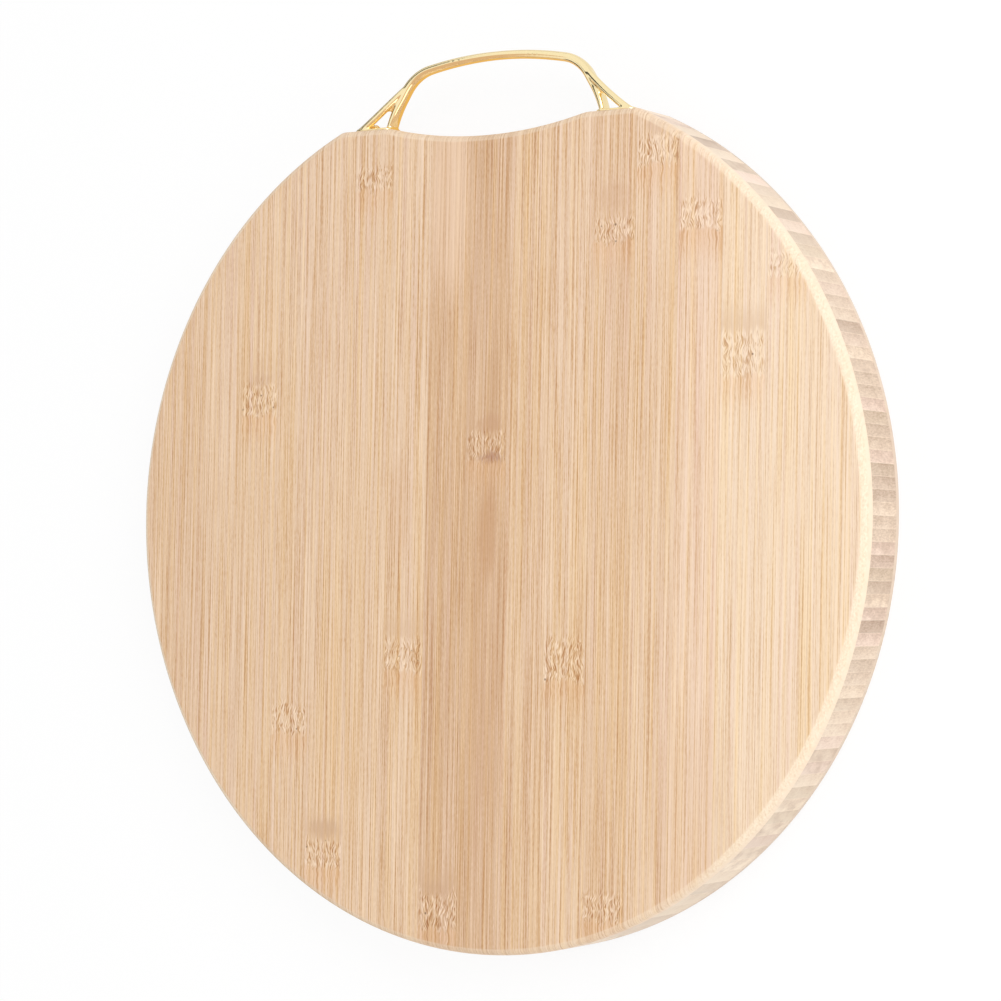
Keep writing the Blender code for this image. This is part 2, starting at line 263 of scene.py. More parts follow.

# %% [markdown]
# ## Floor and light
#
# The board lies on a plain white ground under soft light that comes from the right and the far side. A
# plain diffuse floor would come out grey, so a part of what the camera and the reflections see of it is
# steady white, and the rest still takes the board's soft shadow.
#
# Polished metal looks flat when everything round it is white, so the reflections see a ground of their
# own: pale on the whole, dark further to the left, and warm beyond the board near the handle, where a
# painted shadow of the board lies on it, tinted by the light that the bamboo throws onto the floor.

# %% Make the floor
FLOOR_SIZE = 6.0
FLOOR_SHADE_SHARE = 0.14
SHADE_FADES_FROM = 0.5
SHADE_FADES_TO = 1.3
WHITE = (1.0, 1.0, 1.0, 1.0)
GROUND_COLOUR = (0.96, 0.96, 0.96, 1.0)
GROUND_PALE = (0.93, 0.91, 0.88, 1.0)
GROUND_DARK = (0.07, 0.06, 0.05, 1.0)
PAINTED_WARM_SHADOW = (0.86, 0.57, 0.22, 1.0)
PAINTED_WARM_SHADOW_LIMITS = [("y", 0.09, 0.12), ("y", 0.21, 0.19), ("x", 0.04, 0.01)]
DARK_GROUND_LIMITS = [("x", -0.085, -0.12)]


def ray_kinds(tree):
    """Two readings: one for a ray straight from the camera, and one for a ray that a surface mirrors."""
    path = tree.nodes.new("ShaderNodeLightPath")
    return [Reading(path.outputs[f"Is {kind} Ray"]) for kind in ("Camera", "Glossy")]


def make_ground():
    material, shader, (x, y, z) = new_material("white_ground")
    shader.inputs["Base Color"].default_value = GROUND_COLOUR
    shader.inputs["Roughness"].default_value = 0.9
    shader.inputs["Specular IOR Level"].default_value = 0.0
    tree = material.node_tree
    from_camera, from_gloss = ray_kinds(tree)

    place = {"x": x, "y": y}
    # Reflections see a painted shadow of the board on the ground near the handle, warm with the bamboo's
    # bounced colour
    mirrored = blend(zone(place, PAINTED_WARM_SHADOW_LIMITS), GROUND_PALE, PAINTED_WARM_SHADOW)
    mirrored = blend(zone(place, DARK_GROUND_LIMITS), mirrored, GROUND_DARK)
    glow = tree.nodes.new("ShaderNodeEmission")
    plug(blend(from_gloss, WHITE, mirrored), glow.inputs["Color"])

    length = add_node("ShaderNodeVectorMath", point(x, y, z), operation="LENGTH")
    distance = Reading(length.outputs["Value"])
    steady = fade(distance, SHADE_FADES_FROM, SHADE_FADES_TO, 1 - FLOOR_SHADE_SHARE, 1.0)
    mix = add_node("ShaderNodeMixShader", from_camera * steady + from_gloss)
    tree.links.new(shader.outputs[0], mix.inputs[1])
    tree.links.new(glow.outputs[0], mix.inputs[2])
    tree.links.new(mix.outputs[0], tree.nodes["Material Output"].inputs["Surface"])
    return material


def put_in_scene(name, bm):
    """An object with the mesh of a bmesh, which is freed."""
    mesh = bpy.data.meshes.new(name)
    bm.to_mesh(mesh)
    bm.free()
    item = bpy.data.objects.new(name, mesh)
    scene.collection.objects.link(item)
    return item


def make_floor():
    bm = bmesh.new()
    bmesh.ops.create_grid(bm, x_segments=1, y_segments=1, size=FLOOR_SIZE / 2)
    floor = put_in_scene("floor", bm)
    floor.data.materials.append(make_ground())


make_floor()
print("floor:", FLOOR_SIZE, "m wide")

# %% [markdown]
# The world lights the board evenly, only a little weaker from low down on the near side. The reflections
# see another world, with a warm glow on the near side, a dark bar high on the left and dark zones low
# down, as in a real studio. A zone's limits are soft steps along the direction in which a ray looks: how
# far it points to the right, to the far side, to the near side or up.

# %% Light the world
SKY_LIGHT = 0.70
NEAR_SIDE_LOSS = 0.10
WARM_GLOW = (0.74, 0.54, 0.42, 1.0)
WEAKER_LIMITS = [("up", 0.5, 0.0), ("near", 0.2, 0.9)]
WARM_LIMITS = [("near", -0.04, 0.06), ("up", 0.96, 0.90), ("right", -0.66, -0.58)]
DARK_BAR_LIMITS = [("up", 0.36, 0.46), ("up", 0.83, 0.80), ("right", -0.58, -0.64), ("far", 0.03, 0.08)]
DARK_LEFT_LIMITS = [("up", 0.55, 0.40), ("right", -0.72, -0.80), ("near", 0.08, 0.18)]
DARK_HORIZON_LIMITS = [("up", 0.20, 0.06), ("right", -0.60, -0.80)]
DARK_NEAR_LIMITS = [("up", 0.35, 0.00), ("near", 0.30, 0.50)]
DARK_ZONES = [
    (0.92, DARK_BAR_LIMITS),
    (0.90, DARK_LEFT_LIMITS),
    (0.70, DARK_HORIZON_LIMITS),
    (0.35, DARK_NEAR_LIMITS),
]


def make_world():
    world = bpy.data.worlds.new("studio")
    scene.world = world
    world.use_nodes = True
    tree = world.node_tree
    tree.nodes.clear()
    right, far, up = coordinates_of(tree, "Generated")
    ray = {"right": right, "far": far, "near": far * -1.0, "up": up}
    from_camera, from_gloss = ray_kinds(tree)

    lighting = zone(ray, WEAKER_LIMITS) * (-NEAR_SIDE_LOSS * SKY_LIGHT) + SKY_LIGHT
    dark, *others = [zone(ray, limits) * darkness for darkness, limits in DARK_ZONES]
    for other in others:
        dark = calc("MAXIMUM", dark, other)
    strength = either(from_camera, either(from_gloss, lighting, 1.0 - dark), 1.0)
    colour = blend(from_gloss * zone(ray, WARM_LIMITS), WHITE, WARM_GLOW)
    background = add_node("ShaderNodeBackground", colour, strength)
    output = tree.nodes.new("ShaderNodeOutputWorld")
    tree.links.new(background.outputs[0], output.inputs["Surface"])


make_world()
scene.view_settings.view_transform = "Standard"
print("world strength on the board:", SKY_LIGHT)

# %% Hang the lamps
LAMPS = {
    "softbox_right": {"place": (1.2, 0.75, 1.15), "size": 1.2, "watts": 15.0, "mirrored": True},
    "softbox_left": {"place": (-0.9, -0.5, 1.3), "size": 1.2, "watts": 2.5, "mirrored": False},
    "softbox_near": {"place": (1.0, -0.95, 0.75), "size": 1.0, "watts": 4.0, "mirrored": True},
}


def hang_lamp(name, place, size, watts, mirrored):
    """A square lamp that faces the board."""
    data = bpy.data.lights.new(name, "AREA")
    data.shape = "SQUARE"
    data.size = size
    data.energy = watts
    lamp = bpy.data.objects.new(name, data)
    turn = (-Vector(place)).to_track_quat("-Z", "Y").to_matrix().to_4x4()
    lamp.matrix_world = Matrix.Translation(place) @ turn
    lamp.visible_glossy = mirrored
    scene.collection.objects.link(lamp)


for lamp_name, lamp_values in LAMPS.items():
    hang_lamp(lamp_name, **lamp_values)
print("lamps:", ", ".join(LAMPS))

# %% [markdown]
# ## Bamboo of the faces
#
# Each face is made of strips 20 mm wide. A strip is a slice of a bamboo stalk, so its fibres run along it
# as fine streaks, and where the stalk had a ring, a short band of tangled strokes crosses the strip.
#
# The pattern is worked out from the piece's place in metres. The number of the strip is the distance from
# one glue joint, divided by the width and rounded down, and it seeds everything random in that strip.

# %% Sizes of the bamboo
STRIP_WIDTH = 0.020
STRIP_JOINT_X = -0.0045
STRIP_NUMBERS = range(-9, 10)
LATH_THICKNESS = 0.005
LATH_JOINT_Y = 0.002

# %% [markdown]
# Neighbouring strips differ in tone, because they come from different stalks. A colour ramp with constant
# steps is a handy lookup table for that: it takes the number of the strip, with strip 0 in the middle, and
# gives back a colour. Each tone is that of the strip's palest fibres, and the streaks darken it from there.

# %% Tones of the strips
STRIP_LOOKUP_COUNT = 24
TONES = {
    "ivory": seen(244, 222, 197),
    "pale": seen(240, 214, 189),
    "plain": seen(235, 208, 180),
    "tan": seen(231, 202, 172),
    "shade": seen(222, 190, 159),
}
FRONT_TONES = {-9: "tan", -8: "tan", -1: "shade", 0: "shade", 1: "tan", 3: "tan", 5: "pale",
               6: "ivory", 7: "ivory", 8: "ivory", 9: "ivory"}
BACK_TONES = {-9: "pale", -7: "tan", -6: "ivory", -4: "shade", -2: "pale", -1: "ivory", 1: "tan",
              2: "tan", 4: "pale", 5: "shade", 7: "pale", 8: "ivory"}


def by_strip(strip, value_of):
    """A colour looked up by the number of the strip."""
    half = STRIP_LOOKUP_COUNT // 2
    stops = [((number + half) / STRIP_LOOKUP_COUNT, value_of(number)) for number in STRIP_NUMBERS]
    return ramp((strip + (half + 0.5)) / STRIP_LOOKUP_COUNT, stops, "CONSTANT")


print("tones:", ", ".join(TONES))

# %% [markdown]
# Where the stalk had a ring, a band of short tangled strokes crosses the strip. A short list gives each
# ring's height on the board, half its own height, both in millimetres, and how bold it is. The same
# lookup carries all three numbers at once, as the red, green and blue of a colour.

# %% Rings of the stalks
RING_REACH = 0.5
TALLEST_HALF = 0.02
NO_RING = (240, 5, 0.0)
FRONT_RINGS = {-6: (51, 7.5, 0.90), -5: (-87, 6.5, 0.85), -4: (-144, 6, 1), -3: (143, 5.5, 0.80),
               -2: (-58, 7, 0.80), -1: (-163, 8, 1), 0: (29, 6, 0.85), 2: (-57, 9, 0.80),
               3: (116, 5.5, 0.85), 4: (147, 6.5, 1), 5: (120, 6, 1), 6: (64, 8.5, 0.85),
               7: (99, 5.5, 0.80)}
FRONT_SECOND_RINGS = {3: (-155, 6, 0.80)}
BACK_RINGS = {-8: (20, 5.5, 0.7), -6: (-70, 7, 0.8), -5: (110, 5, 0.5), -4: (35, 6, 1),
              -3: (-128, 6, 0.6), -2: (92, 8, 0.7), 0: (-12, 5, 0.9), 1: (150, 5, 0.5),
              2: (-98, 7, 0.8), 4: (61, 5.5, 0.6), 5: (-40, 6.5, 1), 6: (118, 5, 0.5),
              8: (-30, 5, 0.7)}
BACK_SECOND_RINGS = {-5: (-140, 5, 0.8), 1: (-120, 6, 0.6)}


def ring_facts(strip, rings):
    """A colour that holds the height, half height and boldness of the strip's ring."""
    def as_colour(number):
        height, half, boldness = rings.get(number, NO_RING)
        return height / 1000 / RING_REACH + 0.5, half / 1000 / TALLEST_HALF, boldness, 1.0

    return by_strip(strip, as_colour)


def nearer_ring(strip, y, rings, second_rings):
    """Distance above the middle of the nearer ring, half the ring's height, and its boldness."""
    here = y / RING_REACH + 0.5
    first, second = ring_facts(strip, rings), ring_facts(strip, second_rings)
    to_first, to_second = (abs(here - three_parts(facts)[0]) for facts in (first, second))
    facts = blend(calc("LESS_THAN", to_second, to_first), first, second)
    height, half, boldness = three_parts(facts)
    return (here - height) * RING_REACH, half * TALLEST_HALF, boldness


print("rings on the front:", len(FRONT_RINGS) + len(FRONT_SECOND_RINGS))

# %% [markdown]
# A few strips also carry a soft stain. Each stain is an oval with its middle, its two half lengths in
# millimetres, its strength and its colour. Squared distances from the middle make the oval.

# %% Stains
FRONT_STAINS = [
    (7, 38.5, 8, 5, 0.55, seen(196, 154, 120)),
    (8, 54, 6.5, 18, 0.30, seen(200, 162, 126)),
    (8, 24.5, 8, 2.6, 0.60, seen(178, 136, 114)),
    (7, -6, 5.5, 24, 0.50, seen(194, 148, 108)),
    (-38, 2, 7, 30, 0.22, seen(204, 160, 124)),
    (65.5, 129, 9.5, 8, 0.40, seen(206, 168, 136)),
    (-74.5, -133, 9.5, 5, 0.55, seen(200, 164, 132)),
    (-14.5, -154.5, 9.5, 4, 0.45, seen(200, 162, 130)),
    (-114.5, 58.5, 9, 3.5, 0.40, seen(204, 168, 138)),
    (85.5, 156.5, 8.5, 4, 0.40, seen(204, 168, 138)),
    (-15, 135, 12, 60, 0.55, seen(236, 206, 178)),
    (6, -70, 10, 120, 0.16, seen(196, 150, 110)),
    (106, -125, 26, 60, 0.14, seen(198, 158, 122)),
]
BACK_STAINS = [
    (-55, -40, 6, 22, 0.35, seen(196, 152, 114)),
    (48, 70, 7, 6, 0.40, seen(188, 146, 116)),
]
STAIN_CORE = 0.15


def oval(x, y, middle_x, middle_y, half_x, half_y):
    """One in the middle of an oval, falling to zero at its edge."""
    across = (x - middle_x / 1000) * (1000 / half_x)
    along = (y - middle_y / 1000) * (1000 / half_y)
    return fade(across * across + along * along, 1.0, STAIN_CORE)


print("stains:", len(FRONT_STAINS), "front,", len(BACK_STAINS), "back")

# %% [markdown]
# Fibres are noise that is squeezed across the strip and drawn out along it. Threads well under a
# millimetre give the fine lines, and coarser strands group them. Inside a ring the place where the noise
# is read is pushed a little to the left and right by another noise, so the strokes lean this way and
# that, and their length shrinks to a few millimetres.

# %% Fibres
# Each kind has a seed, its grains per metre across and along the strip, its slant and its noise's detail
BORDERS = (0, 620, 40, 0, 1)
LEAN = (30, 200, 200, 0, 1)
DRIFT = (31, 40, 7, 0, 1)
FIBRES = {
    "threads": (0, 2500, 10, 0, 1),
    "strands": (10, 1150, 6, 0, 2),
    "short": (40, 1900, 50, 0.03, 1),
    "pores": (50, 2600, 480, 0, 1),
    "left strokes": (60, 2050, 240, 0.24, 1),
    "right strokes": (61, 2050, 240, -0.24, 1),
    "patches": (62, 330, 190, 0, 1),
    "hairs": (70, 1900, 5, 0, 1),
    "hue": (80, 620, 6, 0, 1),
}
DRIFT_REACH = 0.0011
LEAN_REACH = 0.0020


def fibres(kind, x, y, stalk):
    """Noise of one kind of fibre. The stalk's number makes it differ from strip to strip."""
    seed, across, along, slant, detail = kind
    return noise(point((x + y * slant if slant else x) * across, y * along, stalk + seed), detail)


def read_fibres(x, y, stalk, push):
    """All kinds of fibre that make the streaks, drifting slightly, and pushed sideways inside a ring."""
    drifted = weighed(x, (fibres(DRIFT, x, y, stalk), DRIFT_REACH))
    x = spread(fibres(LEAN, x, y, stalk), 0.0, LEAN_REACH) * push + drifted
    found = {name: fibres(kind, x, y, stalk) for name, kind in FIBRES.items()}
    patches = fade(found["patches"], 0.44, 0.56)
    found["strokes"] = either(patches, found["left strokes"], found["right strokes"])
    return found


print("kinds of fibre:", ", ".join(FIBRES))

# %% [markdown]
# A ring has three zones with ragged borders: its own band of strokes, combed streaks that hang below it,
# and on some strips a calm stretch above it.

# %% Zones of a ring
# Metres over the ring's top or under its bottom, where a step gives zero and where it gives one
BAND_TOP = (0.0012, -0.0030)
BAND_BOTTOM = (0.0008, -0.0012)
COMBED_BEGINS = (-0.0010, 0.0010)
COMBED_ENDS = (0.017, 0.001)
CALM_BEGINS = (-0.001, 0.002)
CALM_ENDS = (0.015, 0.003)
RAGGED_BORDER = 0.009
WEAKER_AT_JOINT = (0.43, 0.49, 1.0, 0.3)
CALM_CHANCE_SEED = 5.0
CALM_CHANCE = (0.25, 0.75)


def ring_zones(x, y, strip, stalk, off_middle, rings, second_rings):
    """How far a place is in the band, the combed streaks and the calm stretch, and the ring's boldness."""
    above, half, boldness = nearer_ring(strip, y, rings, second_rings)
    above = weighed(above, (fibres(BORDERS, x, y, stalk), RAGGED_BORDER))
    over_top = above - half
    under_bottom = above * -1.0 - half
    band = fade(over_top, *BAND_TOP) * fade(under_bottom, *BAND_BOTTOM)
    band = band * fade(off_middle, *WEAKER_AT_JOINT)
    combed = fade(under_bottom, *COMBED_BEGINS) * fade(under_bottom, *COMBED_ENDS) * boldness
    calm = fade(over_top, *CALM_BEGINS) * fade(over_top, *CALM_ENDS) * boldness
    calm = calm * fade(chance(stalk + CALM_CHANCE_SEED), *CALM_CHANCE)
    return band, combed, calm, boldness


print("ragged border:", RAGGED_BORDER * 1000, "mm")

# %% [markdown]
# The tone is a weighed sum of the fibres. A ramp turns it into a colour that multiplies the strip's own,
# and a second ramp lets the hue wander. Then come the palest fibres, brown hairs, and the colours of a
# ring's zones, each laid over the last. The streaks are calmer towards the right edge.

# %% Streaks
TONE_WEIGHTS = {"threads": 1.30, "strands": 0.22, "short": 0.40, "pores": 0.42}
STREAK_RAMP = [
    (0.00, seen(190, 154, 114)),
    (0.27, seen(224, 205, 182)),
    (0.42, seen(240, 233, 223)),
    (0.50, seen(245, 242, 239)),
    (0.68, seen(251, 251, 251)),
    (1.00, seen(255, 255, 255)),
]
HUE_RAMP = [
    (0.22, seen(252, 247, 253)),
    (0.42, seen(253, 252, 254)),
    (0.52, seen(255, 253, 251)),
    (0.66, seen(255, 251, 240)),
    (0.82, seen(255, 246, 226)),
]
LOWER_TINT = seen(254, 253, 250)
PALEST_FIBRES = seen(246, 222, 199)
BROWN_HAIRS = seen(206, 158, 114)
COMBED_BROWN = seen(226, 176, 130)
CALM_TAN = seen(204, 168, 136)
PALE_STROKES = seen(250, 225, 197)
COMBED_SHARE = 0.24
CALM_SHARE = 0.30
# Soft steps, each with its low and high value and what it gives there
RIGHT_IS_CALMER = (0.07, 0.12, 1.0, 0.78)
LOWER_PART = (0.13, 0.00, 0.0, 1.0)
PALEST_SHARE = (0.58, 0.86, 0.0, 0.42)
HAIR_SHARE = (0.63, 0.72, 0.0, 0.28)
STROKE_SHARE = (0.56, 0.74, 0.0, 0.6)


def streaked(x, y, own_colour, found, stroke_tone, ring, combed, calm):
    """The strip's own colour with all its streaks."""
    tone = weighed(0.5, *[(found[name], weight) for name, weight in TONE_WEIGHTS.items()])
    tone = tone + stroke_tone
    tone = combed * spread(found["strands"], -0.05, 1.1) + tone
    tone = calm * ((0.40 - tone) * 0.7) + tone
    colour = blend(fade(x, *RIGHT_IS_CALMER), own_colour, ramp(tone, STREAK_RAMP), "MULTIPLY")
    colour = blend(fade(y, *LOWER_PART), colour, LOWER_TINT, "MULTIPLY")
    colour = blend(fade(tone, *PALEST_SHARE), colour, PALEST_FIBRES)
    colour = blend(1.0, colour, ramp(found["hue"], HUE_RAMP), "MULTIPLY")
    colour = blend(fade(found["hairs"], *HAIR_SHARE), colour, BROWN_HAIRS)
    colour = blend(combed * COMBED_SHARE, colour, COMBED_BROWN)
    colour = blend(calm * CALM_SHARE, colour, CALM_TAN)
    return blend(ring * fade(found["strokes"], *STROKE_SHARE), colour, PALE_STROKES)


print("weights of the tone:", TONE_WEIGHTS)

# %% [markdown]
# Stains are broken up by the same fibres. A ring also has a dark dot here and there, from a Voronoi
# texture, whose cells each have a random colour: only cells with a high one keep their dot.

# %% Stains and dots laid on
DOTS_PER_METRE = 300.0
DOT_CHANCE = 0.20
DOT_REACH = (0.20, 0.08)
DOT_SHARE = 0.75
DOT_BROWN = seen(104, 74, 52)
GLUE_LINE = seen(186, 148, 116)
GLUE_LINE_SHARE = (0.488, 0.499, 0.0, 0.30)


def stained(x, y, colour, found, band, stains):
    ragged_x = weighed(x, (found["strokes"], 0.004))
    ragged_y = weighed(y, (found["threads"], 0.010))
    streaky = band * spread(found["strokes"], 0.0, 5.0) + weighed(1.0, (found["strands"], 2.4))
    streaky = calc("MAXIMUM", streaky, 0.0)
    for middle_x, middle_y, half_x, half_y, strength, stain_colour in stains:
        stain = oval(ragged_x, ragged_y, middle_x, middle_y, half_x, half_y)
        colour = blend(stain * strength * streaky, colour, stain_colour)
    return colour


def dotted(x, y, colour, seed, band):
    cells = add_node("ShaderNodeTexVoronoi", point(x, y, seed))
    cells.inputs["Scale"].default_value = DOTS_PER_METRE
    lucky = calc("GREATER_THAN", three_parts(Reading(cells.outputs["Color"]))[0], 1 - DOT_CHANCE)
    dot = fade(Reading(cells.outputs["Distance"]), *DOT_REACH) * lucky * band
    return blend(dot * DOT_SHARE, colour, DOT_BROWN)


print("dots in", round(DOT_CHANCE * 100), "% of the cells")

# %% [markdown]
# On the rounded edge the fibres are cut across, which makes the bamboo paler and yellower there, most so
# where the edge runs along the fibres, at the left and right. That extra paleness is partly the cut fibres
# and partly a painted highlight of the strong light from the right. The surface's own normal tells how steep
# the edge is.

# %% Cut edge
# The level is one where a surface lies flat and zero where it stands upright
ROUNDING = (0.994, 0.950)
UPRIGHT = (0.55, 0.20)
LENGTHWAYS = (-0.9, 0.1)
CUT_ENDS_PER_METRE = (1500.0, 900.0, 900.0)
SIDE_PALENESS_AND_HIGHLIGHT = 0.78
END_PALENESS = 0.36
CUT_RAMP = [
    (0.30, seen(231, 208, 180)),
    (0.55, seen(240, 222, 197)),
    (0.75, seen(246, 231, 209)),
]


def cut_edge(tree, x, y, z, colour, threads, side_colour):
    """The colour with the edge laid over it, which turns to the side's colour where it stands upright."""
    normal_x, normal_y, normal_z = coordinates_of(tree, "Normal")
    level = abs(normal_z)
    off_axis = abs(normal_x) - abs(normal_y)
    lengthways = fade(off_axis / (1.02 - level), *LENGTHWAYS)
    rounded = fade(weighed(level, (threads, 0.03)), *ROUNDING)
    cut_ends = noise(grains(x, y, z, CUT_ENDS_PER_METRE), 1.0)
    edge_colour = blend(fade(level, *UPRIGHT), ramp(cut_ends, CUT_RAMP), side_colour)
    # Paler still where the edge runs along the fibres: partly cut fibres, partly a painted highlight of the
    # light from the right
    return blend(rounded * either(lengthways, END_PALENESS, SIDE_PALENESS_AND_HIGHLIGHT), colour, edge_colour)


print("the edge is paler by up to", SIDE_PALENESS_AND_HIGHLIGHT)

# %% [markdown]
# Both faces are built by one function from tables of their own, so front and back are alike in kind and
# different in every streak. Its last steps are a thin darker line at each glue joint, a roughness that
# follows the strands, and a relief a twentieth of a millimetre deep.

# %% Face bamboo
STALK_STEP = 3.7
FACES = {
    "face_bamboo_front": {"tones": FRONT_TONES, "rings": FRONT_RINGS, "second_rings": FRONT_SECOND_RINGS,
                          "stains": FRONT_STAINS, "side_colour": seen(244, 224, 200), "seed": 11.0},
    "face_bamboo_back": {"tones": BACK_TONES, "rings": BACK_RINGS, "second_rings": BACK_SECOND_RINGS,
                         "stains": BACK_STAINS, "side_colour": seen(214, 197, 181), "seed": 211.0},
}


def make_face_bamboo(name, tones, rings, second_rings, stains, side_colour, seed):
    material, shader, (x, y, z) = new_material(name)
    from_joint = (x - STRIP_JOINT_X) / STRIP_WIDTH
    strip = calc("FLOOR", from_joint)
    off_middle = abs(calc("FRACT", from_joint) - 0.5)
    stalk = calc("MULTIPLY_ADD", strip, STALK_STEP, seed)
    band, combed, calm, boldness = ring_zones(x, y, strip, stalk, off_middle, rings, second_rings)
    ring = band * boldness
    found = read_fibres(x, y, stalk, calc("MAXIMUM", band, combed))
    stroke_tone = ring * spread(found["strokes"], -0.04, 2.3)

    own_colour = by_strip(strip, lambda number: TONES[tones.get(number, "plain")])
    colour = streaked(x, y, own_colour, found, stroke_tone, ring, combed, calm)
    colour = stained(x, y, colour, found, band, stains)
    colour = dotted(x, y, colour, seed, band)
    colour = blend(fade(off_middle, *GLUE_LINE_SHARE), colour, GLUE_LINE)
    colour = cut_edge(material.node_tree, x, y, z, colour, found["threads"], side_colour)

    roughness = spread(found["strands"], 0.52, 0.16)
    dress(shader, colour, roughness, found["threads"] + stroke_tone, 0.00005, 0.5)
    shader.inputs["Specular IOR Level"].default_value = 0.35
    return material


front_bamboo, back_bamboo = (make_face_bamboo(name, **values) for name, values in FACES.items())
print("face bamboo:", len(front_bamboo.node_tree.nodes), "nodes")

# %% [markdown]
# ## Bamboo of the core
#
# The core's laths stand on edge and run across the strips. The rim cuts them open, so each shows as a
# block 5 mm wide and 20 mm tall: sawn ends at the left and right, long sides at the top and bottom. Each
# lath has a tone of its own, from cream over pink to a greyish tan, with soft mottling and a fine grain.
# Sawn ends are finely speckled and long sides are streaked.

# %% Core bamboo
TONE_SEED = 0.37
BROWN_SEED = 40.2
BROWN_SHARE = 0.24
BLOTCH_BROWN = seen(196, 172, 153)
LATH_EDGE = seen(244, 226, 206)
LATH_EDGE_SHARE = (0.455, 0.490, 0.0, 0.35)
END_GRAINS_PER_METRE = (1700.0, 420.0)
SIDE_GRAINS_PER_METRE = (30.0, 1300.0)
MOTTLES_PER_METRE = (130.0, 220.0, 150.0)
SPECKLES_PER_METRE = (900.0, 1500.0, 900.0)
LATH_TONES = [
    (0.00, seen(208, 190, 170)),
    (0.14, seen(241, 224, 204)),
    (0.30, seen(221, 203, 184)),
    (0.44, seen(249, 232, 211)),
    (0.58, seen(226, 209, 188)),
    (0.72, seen(243, 223, 208)),
    (0.86, seen(208, 188, 170)),
    (1.00, seen(250, 234, 214)),
]
CORE_RAMP = [
    (0.15, seen(208, 196, 188)),
    (0.42, seen(238, 232, 228)),
    (0.58, seen(248, 246, 244)),
    (0.80, seen(255, 255, 255)),
]


def make_core_bamboo():
    material, shader, (x, y, z) = new_material("core_bamboo")
    from_joint = (y - LATH_JOINT_Y) / LATH_THICKNESS
    lath = calc("FLOOR", from_joint)
    upwards = calc("FRACT", from_joint) - 0.5
    ends = noise(grains(y, z, lath, (*END_GRAINS_PER_METRE, 1.0)), 2.0, 0.6)
    sides = noise(grains(x, z, lath, (*SIDE_GRAINS_PER_METRE, 1.0)), 2.0, 0.6)
    sideways = calc("POWER", abs(coordinates_of(material.node_tree, "Normal")[1]), 2.0)
    grain = (sides - ends) * sideways + ends
    mottling = noise(grains(x, y, z, MOTTLES_PER_METRE), 3.0, 0.6)
    speckle = noise(grains(x, y, z, SPECKLES_PER_METRE), 1.0)

    start = upwards * -0.18 + fade(abs(y - 0.01), 0.02, 0.14, 0.31, 0.53)
    tone = weighed(sideways * 0.14 + start, (grain, 0.60), (mottling, 0.40), (speckle, 0.30))
    own_colour = ramp(chance(lath + TONE_SEED), LATH_TONES)
    colour = blend(1.0, own_colour, ramp(tone, CORE_RAMP), "MULTIPLY")
    brown_lath = calc("GREATER_THAN", chance(lath + BROWN_SEED), 1 - BROWN_SHARE)
    blotches = fade(mottling, 0.30, 0.62, 0.5, 0.0) * brown_lath * weighed(1.0, (speckle, 2.5))
    colour = blend(blotches, colour, BLOTCH_BROWN)
    colour = blend(fade(abs(upwards), *LATH_EDGE_SHARE), colour, LATH_EDGE)
    dress(shader, colour, spread(grain, 0.62, 0.15), grain, 0.00005, 0.4)
    shader.inputs["Specular IOR Level"].default_value = 0.3
    return material


core_bamboo = make_core_bamboo()
print("core bamboo:", len(core_bamboo.node_tree.nodes), "nodes")

# %% [markdown]
# ## Gold and brass
#
# The handle is cast, polished and plated in a pale gold. A metal's colour is the tint of its reflections,
# so most of its look comes from what it mirrors. A little noise in the roughness and a very faint relief
# keep it from looking like a computer's perfect mirror. The screws are brass, a bit redder and duller.

# %% Metals
SMEARS_PER_METRE = (260.0, 260.0, 260.0)
SMEAR_DARKENING = 0.96


def make_metal(name, colour, roughness):
    material, shader, (x, y, z) = new_material(name)
    smear = noise(grains(x, y, z, SMEARS_PER_METRE), 3.0)
    darker = tuple(SMEAR_DARKENING * part for part in colour[:3]) + (1.0,)
    tint = ramp(smear, [(0.25, darker), (0.75, colour)])
    dress(shader, tint, spread(smear, roughness, roughness * 0.5), smear, 0.00003, 0.4)
    shader.inputs["Metallic"].default_value = 1.0
    return material


gold = make_metal("polished_gold", (0.98, 0.82, 0.48, 1.0), 0.09)
brass = make_metal("screw_brass", (0.88, 0.66, 0.34, 1.0), 0.22)
print("metals:", gold.name, brass.name)

# %% [markdown]
# ## Turning meshes into pieces
#
# Every piece ends in the same way: its normals are made to point outwards, its faces are shaded smooth
# with sharp edges where they meet at a corner, and it is hung under the board's root while the solid that
# it stands for is hidden.

# %% Finish a piece
MERGE_DISTANCE = 1e-7


def add_piece(name, bm, material, node, sharp_degrees=40.0):
    bmesh.ops.remove_doubles(bm, verts=bm.verts, dist=MERGE_DISTANCE)
    bmesh.ops.recalc_face_normals(bm, faces=bm.faces)
    piece = put_in_scene(name, bm)
    piece.data.shade_smooth()
    piece.data.set_sharp_from_angle(angle=math.radians(sharp_degrees))
    piece.data.materials.append(material)
    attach(piece, "root")
    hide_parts(node)
    return piece


def keep_flats_flat(piece):
    """Big faces decide the normals at their edges, so that the flat face isn't shaded like a pillow."""
    weights = piece.modifiers.new("flat faces first", "WEIGHTED_NORMAL")
    weights.keep_sharp = True


print("pieces can be added")

# %% [markdown]
# ## The board's outline
#
# The outline is a circle with a shallow valley at the handle. On each side of the valley is a short flat
# that carries a foot of the handle, with small curves on both sides of it.
#
# The Spin operator turns a single vertex about a centre and leaves an arc of edges behind. Five such
# moves in a row draw the right half, from the middle of the valley to the bottom, and Mirror adds the
# left half.

